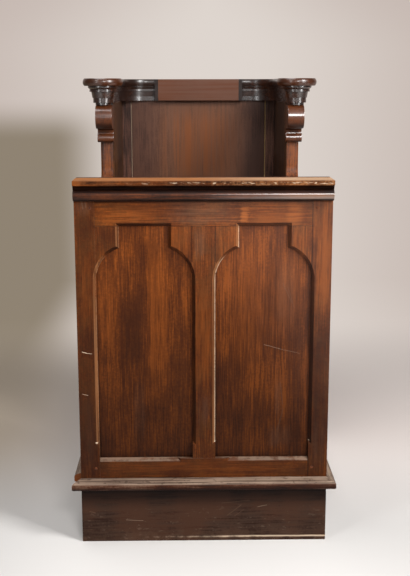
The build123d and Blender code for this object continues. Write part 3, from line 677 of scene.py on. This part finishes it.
class STALL_OT_desk_front(StallStep, bpy.types.Operator):
    """Stains the frame, panels and spandrels of the desk front"""

    bl_idname = "stall.desk_front"
    bl_label = "Desk front"

    def execute(self, context):
        panel = Wood("panel_finish", "Z").oak(0.35)
        panel.marks(PANEL_MARKS)
        panel.scratches(FRONT_SCRATCHES)
        panel.foot(0.22, 0.84, (0.34, 0.34, 0.36))
        across = abs(panel.x)
        # Darker along the panel's edges in the frame and above the sill: partly dirt, partly
        # painted shade in the recess
        gap = step(across, MUNTIN_HALF + 0.014, MUNTIN_HALF)
        gap = gap + step(across, STILE_IN - 0.012, STILE_IN)
        panel.shade((gap + step(panel.z, SILL + 0.02, SILL)) * 0.6, (0.42, 0.38, 0.36))
        dress(both("desk_panel"), panel.front_finish())

        stile = Wood("stile_finish", "Z").oak(0.25)
        self.front(stile, FRAME_MARKS)
        upright = both("desk_stile", "spandrel_outer", "spandrel_inner") + ["desk_muntin"]
        dress(upright, stile.front_finish())

        rail = Wood("rail_finish", "X").oak(0.25)
        self.front(rail, RAIL_MARKS)
        # Painted shadow of the bead on the top of the rail
        rail.shade(step(rail.z, BEAD_FOOT - 0.006, BEAD_FOOT - 0.001) * 0.85, (0.2, 0.18, 0.18))
        dress(["desk_top_rail", "desk_bottom_rail"], rail.front_finish())
        return {"FINISHED"}

    def front(self, wood, table):
        """Mottling, marks, rubbed chamfers, painted light and shade, joint lines and scratches of
        the frame.
        """
        mottle = step(wood.grime * 0.6 + wood.cloud * 0.4, 0.45, 0.57)
        wood.lay(mottle * 0.3, "olive")
        wood.marks(table)
        wood.wear("worn_and_lit", 0.3, 0.003)
        wood.foot(0.18, 0.86, (0.52, 0.52, 0.56))
        inside = step(wood.y, FRONT + 2.5 * CHAMFER, FRONT + 2 * CHAMFER)
        # Chamfers that face the key lamp get a lighter tone and a pale line at their inner arris:
        # painted light and a painted highlight, partly rubbed wear and chips
        lit = wood.facing("X", 0.45, 0.62) * inside
        wood.lay(lit * (0.06 + 0.24 * step(wood.streak, 0.42, 0.62)), "worn_and_lit")
        inner = step(wood.y, FRONT + 0.66 * CHAMFER, FRONT + 0.8 * CHAMFER)
        right = step(wood.x, -0.1, 0.0)
        pale_line = right * 0.28 + (0.05 + 0.12 * right) * step(wood.grime + wood.fleck, 0.85, 1.1)
        wood.lay(lit * inner * pale_line, "chip_and_highlight")
        sill = wood.facing("Z", 0.45, 0.62) * step(wood.z, SILL + 0.03, SILL + 0.01)
        wood.lay(sill * (0.12 + 0.36 * step(wood.streak + wood.grime, 0.85, 1.1)), "dust")
        # Painted shade on the chamfers turned away from the key lamp
        wood.shade(wood.facing("-X", 0.45, 0.62) * inside * 0.8, (0.3, 0.27, 0.27))
        # Painted shade on faces turned down, such as the head chamfers
        wood.shade(wood.facing("-Z", 0.45, 0.62) * 0.8, JOINT_AND_SHADE)
        across = abs(wood.x)
        seen = step(wood.x, -0.1, 0.1) * 0.6 + 0.2
        ends = step(wood.z, HEAD - 0.12, HEAD - 0.1) + step(wood.z, SILL + 0.002, SILL - 0.002)
        lines = self.joint(across, STILE_IN) * seen * ends
        lines = lines + self.joint(across, MUNTIN_HALF) * band(wood.z, HEAD - 0.09, HEAD, 0.002)
        lines = lines + self.joint(wood.z, HEAD) * step(across, STILE_IN + 0.004, STILE_IN) * 0.5
        wood.shade(lines * 0.8, JOINT_AND_SHADE)
        wood.scratches(FRONT_SCRATCHES)

    def joint(self, value, line):
        """1 along the open line of a joint."""
        return step(abs(value - line), 0.002, 0.0006)


class STALL_OT_desk_top(StallStep, bpy.types.Operator):
    """Finishes the ledge, the bead and the book board"""

    bl_idname = "stall.desk_top"
    bl_label = "Desk top"

    def execute(self, context):
        low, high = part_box("desk_ledge")
        ledge = Wood("ledge_finish", "X").stain("dark", "deep", "brown", 0.4)
        lip = high.z - 0.013
        grain = step(ledge.fibre * 0.6 + ledge.streak * 0.4, 0.42, 0.58)
        right = step(ledge.x + ledge.ragged(0.2), -0.05, 0.22)
        flat = 0.5 + 0.5 * step(ledge.y, low.y + 0.006, low.y + 0.024)
        flat = ledge.facing("Z", 0.6, 0.9) * flat * step(ledge.y, high.y - 0.014, high.y - 0.026)
        ledge.lay(flat * (0.5 + 0.5 * grain), "worn_and_lit")
        ledge.lay(flat * (1.0 - right) * 0.35, "amber")
        ledge.lay(flat * right * 0.35, "chip_and_highlight")
        edge = step(ledge.y, low.y + 0.006, low.y + 0.003)
        front = band(ledge.z, lip, high.z - 0.001, 0.001) * edge
        chipped = 0.06 + 0.26 * step(ledge.grime + ledge.fleck, 0.9, 1.15)
        ledge.lay(front * (right * 0.9 + 0.3) * chipped, "worn_and_lit")
        ochre = step(ledge.x + ledge.ragged(0.3), -0.1, -0.24) * step(ledge.cloud, 0.42, 0.56)
        ledge.lay(front * ochre * 0.4, "amber")
        rubbed = band(ledge.z, high.z - 0.0085, high.z - 0.0045, 0.0015) * edge
        rubbed = rubbed * step(ledge.x + ledge.ragged(0.25), -0.2, -0.08)
        ledge.specks(rubbed * (right * 0.25 + 0.5), "chip_and_highlight", (70.0, 70.0, 240.0), 0.55, 0.62)
        # Painted shadow in the cove under the ledge's lip
        ledge.shade(step(ledge.z, lip + 0.001, lip - 0.003) * 0.95, COVE_SHADE)
        ledge.rough = ledge.rough + flat * 0.3
        dress(["desk_ledge"], ledge.finish(shine=0.04))

        bead = Wood("bead_finish", "X").stain("dark", "deep", "brown")
        under = bead.facing("-Z", 0.45, 0.75)
        # Painted shade on the bead's underside
        bead.shade(under * 0.95, COVE_SHADE)
        # Painted shadow of the ledge on the top of the bead
        bead.shade(bead.facing("Z", 0.25, 0.55) * 0.95, (0.18, 0.15, 0.15))
        kept = step(bead.x + bead.ragged(0.2), -0.05, 0.28) * (1.0 - under)
        kept = kept * (1.0 - bead.facing("Z", 0.22, 0.32))
        # Painted highlight: a lighter tone on the bead's right end
        bead.lay(kept * step(bead.x, 0.14, 0.26) * 0.22, "worn_and_lit")
        dress(["bead_moulding"], bead.finish(kept, shine=0.2, coat_rough=0.28, coat_ior=2.2))

        board = Wood("book_board_finish", "X").oak()
        board.lay(board.facing("Z") * step(board.streak, 0.38, 0.64) * 0.25, "worn_and_lit")
        board.wear("worn_and_lit")
        dress(["book_board", "book_lip"], board.finish(0.15))
        return {"FINISHED"}


class STALL_OT_desk_inside(StallStep, bpy.types.Operator):
    """Finishes the desk ends, the shelf and its cleats"""

    bl_idname = "stall.desk_inside"
    bl_label = "Desk inside"

    def execute(self, context):
        end = Wood("desk_end_finish", "Z").oak()
        end.foot(0.2, 0.5, (0.55, 0.55, 0.65))
        end.wear("worn_and_lit", 0.5)
        dress(both("desk_end"), end.finish(0.08))
        shelf = Wood("shelf_finish", "X").oak()
        shelf.lay(shelf.facing("Z") * step(shelf.cloud, 0.36, 0.62) * 0.5, "dust")
        shelf.wear("worn_and_lit", 0.5)
        dress(["book_shelf"], shelf.finish())
        raw = Wood("raw_finish", "Y").stain("brown", "raw", "raw")
        raw.shade(step(raw.grime, 0.4, 0.62) * 0.5, tone_of("dust"))
        dress(both("shelf_cleat", "seat_bearer") + numbered("joist"), raw.finish())
        return {"FINISHED"}


class STALL_OT_platform(StallStep, bpy.types.Operator):
    """Finishes the plinth, the nosing and the floorboards, and nails the boards down"""

    bl_idname = "stall.platform"
    bl_label = "Platform"

    def execute(self, context):
        fittings = context.scene.stall_fittings
        dress(["plinth_front", "plinth_back"], self.plinth("plinth_finish", "X"))
        dress(both("plinth_side"), self.plinth("plinth_side_finish", "Y"))
        dress(["nosing_front"], self.nosing("nosing_finish", "X"))
        dress(both("nosing"), self.nosing("nosing_side_finish", "Y"))
        boards = Wood("floorboard_finish", "X").stain("dark", "brown", "raw", 0.5)
        boards.lay(boards.facing("Z") * step(boards.cloud, 0.34, 0.62) * 0.55, "dust")
        boards.wear("dark")
        dress(numbered("floorboard"), boards.finish())
        self.nails(fittings)
        return {"FINISHED"}

    def plinth(self, name, along):
        """Sooty stain, scuffed above the floor, with a painted shadow under the nosing."""
        wood = Wood(name, along).stain("dark", "soot", "soot", 0.1)
        haze = step(wood.streak * 0.4 + wood.cloud, 0.64, 0.86)
        wood.lay(haze * 0.16, "brown")
        low = step(wood.z + wood.ragged(0.05), 0.06, 0.0)
        wood.lay(low * (0.04 + 0.24 * step(wood.grime, 0.42, 0.62)), "smoke")
        # Painted shadow of the nosing on the top of the plinth
        wood.shade(step(wood.z, 0.08, 0.14) * 0.95, (0.21, 0.18, 0.17))
        rim = band(wood.z + wood.ragged(0.004), 0.0095, 0.0135, 0.0015)
        wood.lay(rim * step(wood.x + wood.ragged(0.5), -0.1, 0.12) * 0.75, "chip_and_highlight")
        wood.scratches(PLINTH_SCRATCHES)
        wood.specks(step(wood.z, 0.12, 0.05) * 0.12, "dust", (60.0, 60.0, 160.0), 0.64, 0.71)
        wood.wear("smoke", 0.3)
        return wood.finish(shine=0.1)

    def nosing(self, name, along):
        """Dusty top with open grain, and painted shade below."""
        wood = Wood(name, along).stain("dark", "deep", "smoke", 0.5)
        top = wood.facing("Z", 0.2, 0.7)
        wood.lay(top * (0.72 + 1.2 * (wood.cloud - 0.5)), "dust")
        groove = noise(wood.moved, wood.grain(*GROOVE), 2.0, 0.6)
        wood.lay(step(groove, 0.5, 0.6) * top * 0.65, "dark")
        wood.lay(step(groove, 0.46, 0.38) * top * 0.15, "chip_and_highlight")
        wood.specks(top * 0.5, "dark", (70.0, 70.0, 260.0), 0.58, 0.66)
        wood.wear("dust", 0.5, 0.005)
        # Painted shade on the lower part of the nosing
        wood.shade(step(wood.z, FLOOR_TOP - 0.014, FLOOR_TOP - 0.022) * 0.8, (0.28, 0.24, 0.22))
        if along == "Y":
            wood.lay(wood.facing("-Y", 0.8, 0.95) * 0.7, "orange")
        return wood.finish(shine=0.12, bump=0.4, depth=0.0012)

    def nails(self, fittings):
        """Nail heads over the joists, two in each board."""
        mesh = bmesh.new()
        for board in numbered("floorboard"):
            low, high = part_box(board)
            for joist in numbered("joist"):
                left, right = (corner.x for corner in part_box(joist))
                x = (left + right) / 2
                if abs(x) > right - left:
                    x = math.copysign(min(abs(left), abs(right)) + fittings.joist_inset, x)
                for y in (low.y + fittings.nail_inset, high.y - fittings.nail_inset):
                    size = (fittings.nail, fittings.nail_proud, fittings.rounds)
                    add_head(mesh, (x, y, high.z), (0, 0, 1), *size, HEAD_RINGS)
        new_piece("floor_nails", mesh, iron("nail_finish"), "stall")


class STALL_OT_standards(StallStep, bpy.types.Operator):
    """Finishes the standards and their scroll brackets"""

    bl_idname = "stall.standards"
    bl_label = "Standards"

    def execute(self, context):
        post = Wood("standard_finish", "Z").stain("dark", "brown", "orange", 0.5)
        inner = post.facing("X") * step(post.x, 0.0, -0.1)
        inner = inner + post.facing("-X") * step(post.x, 0.0, 0.1)
        post.shade(inner * 0.9, (0.42, 0.62, 0.9))
        # Painted shade on the right standard's inner face, turned away from the key lamp
        post.shade(inner * step(post.x, -0.2, 0.2) * 0.7, (0.4, 0.38, 0.38))
        post.wear("worn_and_lit", 0.5, 0.003)
        kept = step(post.z, 0.915, 0.95) * 0.4
        dress(both("standard"), post.finish(kept, shine=0.3, coat_rough=0.3))
        bracket = Wood("bracket_finish", "Z").stain("deep", "brown", "brown")
        # Painted shade on the undersides of the scroll brackets
        bracket.shade(bracket.facing("-Z", 0.35, 0.8) * 0.9, (0.2, 0.17, 0.17))
        bracket.wear("worn_and_lit", 0.3, 0.003)
        bracket.rough = bracket.rough * 0.8
        kept = 1.0 - bracket.facing("-Z", -0.05, 0.25) * 0.9
        varnish = bracket.finish(kept, shine=0.3, coat_rough=0.24, coat_ior=2.0)
        dress(both("scroll_bracket"), varnish)
        return {"FINISHED"}


class STALL_OT_capping(StallStep, bpy.types.Operator):
    """Finishes the capping"""

    bl_idname = "stall.capping"
    bl_label = "Capping"

    def execute(self, context):
        arm = Wood("capping_finish", "Y").stain("dark", "dark", "deep", 0.2)
        rub = step(arm.y, 0.3, 0.22) * step(arm.z, CAP_TOP - 0.028, CAP_TOP - 0.018)
        arm.lay(rub * (0.25 + 0.8 * (arm.cloud - 0.4)), "brown")
        arm.lay(arm.facing("Z", 0.5, 0.9) * step(arm.cloud, 0.38, 0.62) * 0.4, "brown")
        arm.rough = arm.rough * 0.8
        # Painted shade on the plain strip of the capping beside the block
        beside = step(abs(arm.x), BLOCK_END + 0.02, BLOCK_END + 0.01)
        arm.shade(beside * 0.6, (0.4, 0.4, 0.4))
        leant = arm.facing("Z", 0.975, 0.995)
        arm.rough = arm.rough + leant * 0.2
        roll = step(arm.z, CAP_TOP - 0.026, CAP_TOP - 0.022)
        rear = arm.facing("Y", 0.2, 0.6)
        kept = (1.0 - beside * 0.85) * (1.0 - leant * 0.85)
        kept = kept * (1.0 - roll * 0.52) * (1.0 - rear * 0.9)
        dress(both("arm_capping"), arm.finish(kept, shine=0.25, coat_rough=0.26, coat_ior=1.9))
        block = Wood("block_finish", "X")
        stripes = step(block.streak * 0.6 + block.cloud * 0.4, 0.42, 0.6)
        warm = [part * tint for part, tint in zip(tone_of("plum"), (0.86, 0.54, 0.24))]
        block.colour = mix(0.15 + 0.6 * stripes, tone_of("plum"), warm)
        block.wear("worn_and_lit", 0.35, 0.003)
        dress(["capping_block"], block.finish(0.04, coat_rough=0.35))
        return {"FINISHED"}


class STALL_OT_back(StallStep, bpy.types.Operator):
    """Finishes the stall's back"""

    bl_idname = "stall.back"
    bl_label = "Stall back"

    def execute(self, context):
        back = Wood("back_finish", "Z").stain("wine", "plum", "plum", 0.25)
        middle = step(abs(back.x - 0.006 + back.ragged(0.04)), 0.19, 0.03)
        middle = middle * band(back.z, 0.84, 1.08, 0.06)
        back.lay(middle * (0.25 + 0.6 * step(back.streak, 0.4, 0.6)), "orange")
        back.lay(band(back.x + back.ragged(0.06), -0.15, 0.15, 0.06) * 0.1, "worn_and_lit")
        tongue = step(abs(back.x), BACK_EDGE - 0.0032, BACK_EDGE - 0.0028)
        # Darker towards the left end; at the right end, a painted shadow of the right standard and
        # the capping
        back.shade(step(back.x + back.ragged(0.05), -0.1, -0.22) * 0.65, (0.6, 0.57, 0.54))
        back.shade(step(back.x - back.z * 0.2, -0.05, 0.02) * 0.9, (0.34, 0.3, 0.28))
        back.lay(tongue * (0.65 + 0.7 * (back.grime - 0.4)), "chip_and_highlight")
        back.shade(tongue * step(back.x, -0.1, 0.1), (1.0, 0.86, 0.5))
        dress(["back_panel"], back.finish(0.05))
        stile = Wood("back_frame_finish", "Z").stain("dark", "wine", "plum", 0.3)
        stile.wear("worn_and_lit", 0.3, 0.003)
        dress(["back_bottom_rail"] + both("back_stile"), stile.finish(0.05))
        return {"FINISHED"}


class STALL_OT_seat(StallStep, bpy.types.Operator):
    """Finishes the seat, its corbel and the hinge rail"""

    bl_idname = "stall.seat"
    bl_label = "Seat"

    def execute(self, context):
        seat = Wood("seat_finish", "X").oak()
        seat.lay(seat.facing("Z") * step(seat.cloud, 0.36, 0.6) * 0.45, "orange")
        seat.wear("worn_and_lit")
        dress(["seat", "hinge_rail"], seat.finish(0.25))
        corbel = Wood("corbel_finish", "Y").oak()
        corbel.wear("worn_and_lit")
        dress(["misericord"], corbel.finish(0.2))
        return {"FINISHED"}


class STALL_OT_hinges(StallStep, bpy.types.Operator):
    """Finishes the seat hinges and puts their screws in"""

    bl_idname = "stall.hinges"
    bl_label = "Hinges"

    def execute(self, context):
        fittings = context.scene.stall_fittings
        metal = iron("hinge_finish")
        dress(both(*HINGE), metal)
        rail_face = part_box("hinge_rail")[0].y - LEAF_T
        seat_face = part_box("seat")[1].y + LEAF_T
        for name, node, body, face, out in (
            ("rail_screws", "hinge_rail_leaf", "stall", rail_face, -1.0),
            ("seat_screws", "hinge_seat_leaf", "seat", seat_face, 1.0),
        ):
            new_piece(name, self.screws(node, face, out, fittings), metal, body)
        return {"FINISHED"}

    def screws(self, node, face, out, fittings):
        """Three slotted screws in each leaf, staggered."""
        mesh = bmesh.new()
        for leaf in both(node):
            low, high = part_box(leaf)
            for share, rise, turned in SCREWS:
                spot = (low.x + share * (high.x - low.x), face, low.z + rise * (high.z - low.z))
                size = (fittings.screw, fittings.screw_proud, fittings.screw_slot, fittings.rounds)
                add_slotted_head(mesh, spot, (0, out, 0), turned, *size)
        return mesh


class STALL_OT_pegs(StallStep, bpy.types.Operator):
    """Drives a peg through each joint of stile and rail in the desk front"""

    bl_idname = "stall.pegs"
    bl_label = "Pegs"

    def execute(self, context):
        fittings = context.scene.stall_fittings
        wood = Wood("peg_finish", "Y").stain("dark", "brown", "brown", 0.6)
        mesh = bmesh.new()
        aside = STILE_IN + fittings.peg_inset
        for rail in ("desk_top_rail", "desk_bottom_rail"):
            low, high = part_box(rail)
            for x in (-aside, aside):
                spot = (x, FRONT, (low.z + high.z) / 2)
                size = (fittings.peg, fittings.peg_proud, PEG_SIDES)
                add_head(mesh, spot, (0, -1, 0), *size, PEG_RINGS)
        new_piece("frame_pegs", mesh, wood.finish(0.03), "stall")
        return {"FINISHED"}


class STALL_OT_edges(StallStep, bpy.types.Operator):
    """Softens the edges and the shading of every wooden and iron piece"""

    bl_idname = "stall.edges"
    bl_label = "Soft edges"

    def execute(self, context):
        shading = soft_shading()
        turned = both("arm_capping", *HINGE)
        soften(turned, shading, 0.0)
        others = [name for name in frame["nodes"] if name not in turned]
        soften(others, shading, context.scene.stall_finish.soft_edge)
        return {"FINISHED"}


class STALL_OT_stage(StallStep, bpy.types.Operator):
    """Sets up the camera, the floor, the backdrop and the lights"""

    bl_idname = "stall.stage"
    bl_label = "Stage"

    def execute(self, context):
        studio = context.scene.stall_studio
        self.camera(studio)
        self.paper(studio)
        for name, value, aim, size in LAMPS:
            target = getattr(studio, aim)
            self.lamp(name, getattr(studio, value + "_place"), target, size, getattr(studio, value))
        self.room(context.scene, studio)
        context.scene.view_settings.view_transform = "Standard"
        return {"FINISHED"}

    def room(self, scene, studio):
        """Dim light from all round, and the backdrop's tone where the paper ends."""
        scene.world = scene.world or bpy.data.worlds.new("room")
        scene.world.use_nodes = True
        scene.world.node_tree.nodes.clear()
        start = Wire(scene.world.node_tree)
        light = {"Color": (*ROOM_LIGHT, 1.0), "Strength": studio.ambient}
        dim = start.node("ShaderNodeBackground", {}, light)
        pale = start.node("ShaderNodeBackground", {}, {"Color": (*studio.wall_edge, 1.0)})
        ray = start.node("ShaderNodeLightPath", output="Is Camera Ray")
        surface = start.node("ShaderNodeMixShader", {}, {0: ray, 1: dim, 2: pale})
        start.node("ShaderNodeOutputWorld", {}, {"Surface": surface})

    def camera(self, studio):
        """Camera that looks along y, turned, tilted and rolled."""
        lens = bpy.data.cameras.new("camera")
        lens.lens = studio.lens
        lens.sensor_width = SENSOR
        lens.clip_end = FARTHEST
        view = new_object("camera", lens)
        turn = Matrix.Rotation(-studio.yaw, 4, "Z")
        tilt = Matrix.Rotation(math.pi / 2 - studio.pitch, 4, "X")
        roll = Matrix.Rotation(studio.roll, 4, "Z")
        view.matrix_world = Matrix.Translation(studio.eye) @ turn @ tilt @ roll
        bpy.context.scene.camera = view

    def paper(self, studio):
        """Floor and backdrop in one sweep of paper."""
        foot = PAPER_BACK - PAPER_BEND
        line = [(PAPER_FRONT, 0.0), (foot, 0.0)]
        for number in range(1, BEND_STEPS + 1):
            bend = math.pi / 2 * number / BEND_STEPS
            spot = (foot + PAPER_BEND * math.sin(bend), PAPER_BEND - PAPER_BEND * math.cos(bend))
            line.append(spot)
        line.append((PAPER_BACK, PAPER_TOP))
        mesh = bmesh.new()
        sides = (-PAPER_HALF, PAPER_HALF)
        left, right = ([mesh.verts.new((x, *spot)) for spot in line] for x in sides)
        for first, second, fourth, third in zip(left, right, left[1:], right[1:]):
            mesh.faces.new((first, second, third, fourth)).smooth = True
        paper = new_mesh("paper", mesh, self.paper_finish(studio))

    def paper_finish(self, studio):
        """Pale paper. Where only its tone should show, it glows for camera and reflections."""
        material, start, x, y, z = new_material("paper")
        # The backdrop's tones are laid out on a nearer plane, as the camera sees them there
        eye_x, eye_y, eye_z = studio.eye
        reach = studio.tone_plane - eye_y
        farther = (y.math("MAXIMUM", y, studio.tone_plane) - eye_y) / reach
        across = (x - eye_x) / farther + eye_x
        height = (z - eye_z) / farther + eye_z
        # Painted falloff of the light: the backdrop darkens towards its sides and top, and the
        # floor towards its sides and behind the stall
        aside = abs(across - 0.1) / 1.35 + step(height, 1.33, 1.93) * 0.4
        wall = mix(step(aside, 0.1, 1.2), studio.wall, studio.wall_edge)
        shade = step(across, -0.45, -0.85) * step(height, 1.11, 0.85)
        wall = mix(shade, wall, studio.wall_shade)
        behind = mix(step(x, -0.25, -0.75), studio.floor_behind, studio.floor_shade)
        before = mix(step(abs(x), 0.25, 0.6), studio.floor, studio.floor_edge)
        ground = mix(step(y, -0.6, 0.25), before, behind)
        tone = mix(step(y, 0.3, 2.0), ground, wall)
        # In front, out of the camera's field, the floor runs into the tone of the room
        outside = step(y, -1.5, -5.0)
        tone = mix(outside, tone, studio.wall_edge)
        shader = start.node("ShaderNodeBsdfPrincipled", {}, {"Base Color": tone, "Roughness": 0.9})
        glow = start.node("ShaderNodeEmission", {}, {"Color": tone})
        ray = start.node("ShaderNodeLightPath", output="Is Camera Ray")
        seen = ray + ray.other("Is Glossy Ray") + ray.other("Is Transmission Ray")
        glows = seen * step(y, 0.7, 1.9) + ray * outside
        surface = start.node("ShaderNodeMixShader", {}, {0: glows, 1: shader, 2: glow})
        start.node("ShaderNodeOutputMaterial", {}, {"Surface": surface})
        return material

    def lamp(self, name, spot, target, size, watts):
        """Area lamp that the camera doesn't see."""
        light = bpy.data.lights.new(name, "AREA")
        light.shape = "RECTANGLE"
        light.size, light.size_y = size
        light.energy = watts
        lamp = new_object(name, light)
        lamp.location = spot
        lamp.rotation_euler = (Vector(target) - Vector(spot)).to_track_quat("-Z", "Y").to_euler()
        lamp.visible_camera = False


OPERATORS = (
    STALL_OT_desk_front,
    STALL_OT_desk_top,
    STALL_OT_desk_inside,
    STALL_OT_platform,
    STALL_OT_standards,
    STALL_OT_capping,
    STALL_OT_back,
    STALL_OT_seat,
    STALL_OT_hinges,
    STALL_OT_pegs,
    STALL_OT_edges,
    STALL_OT_stage,
)


class STALL_PT_sidebar(bpy.types.Panel):
    """Lists the stall's operators and values"""

    bl_idname = "STALL_PT_sidebar"
    bl_label = "Choir stall"
    bl_space_type = "VIEW_3D"
    bl_region_type = "UI"
    bl_category = "Choir stall"

    def draw(self, context):
        for operator in OPERATORS:
            self.layout.operator(operator.bl_idname)
        scene = context.scene
        for group in (scene.stall_finish, scene.stall_fittings, scene.stall_studio):
            box = self.layout.box()
            for name in group.__annotations__:
                box.prop(group, name)


CLASSES = (StallFinish, StallFittings, StallStudio, *OPERATORS, STALL_PT_sidebar)


def register():
    for made in CLASSES:
        bpy.utils.register_class(made)
    bpy.types.Scene.stall_finish = PointerProperty(type=StallFinish)
    bpy.types.Scene.stall_fittings = PointerProperty(type=StallFittings)
    bpy.types.Scene.stall_studio = PointerProperty(type=StallStudio)


def unregister():
    del bpy.types.Scene.stall_studio
    del bpy.types.Scene.stall_fittings
    del bpy.types.Scene.stall_finish
    for made in reversed(CLASSES):
        bpy.utils.unregister_class(made)


def main():
    register()
    for operator in OPERATORS:
        group, name = operator.bl_idname.split(".")
        getattr(getattr(bpy.ops, group), name)()


if __name__ == "__main__":
    main()
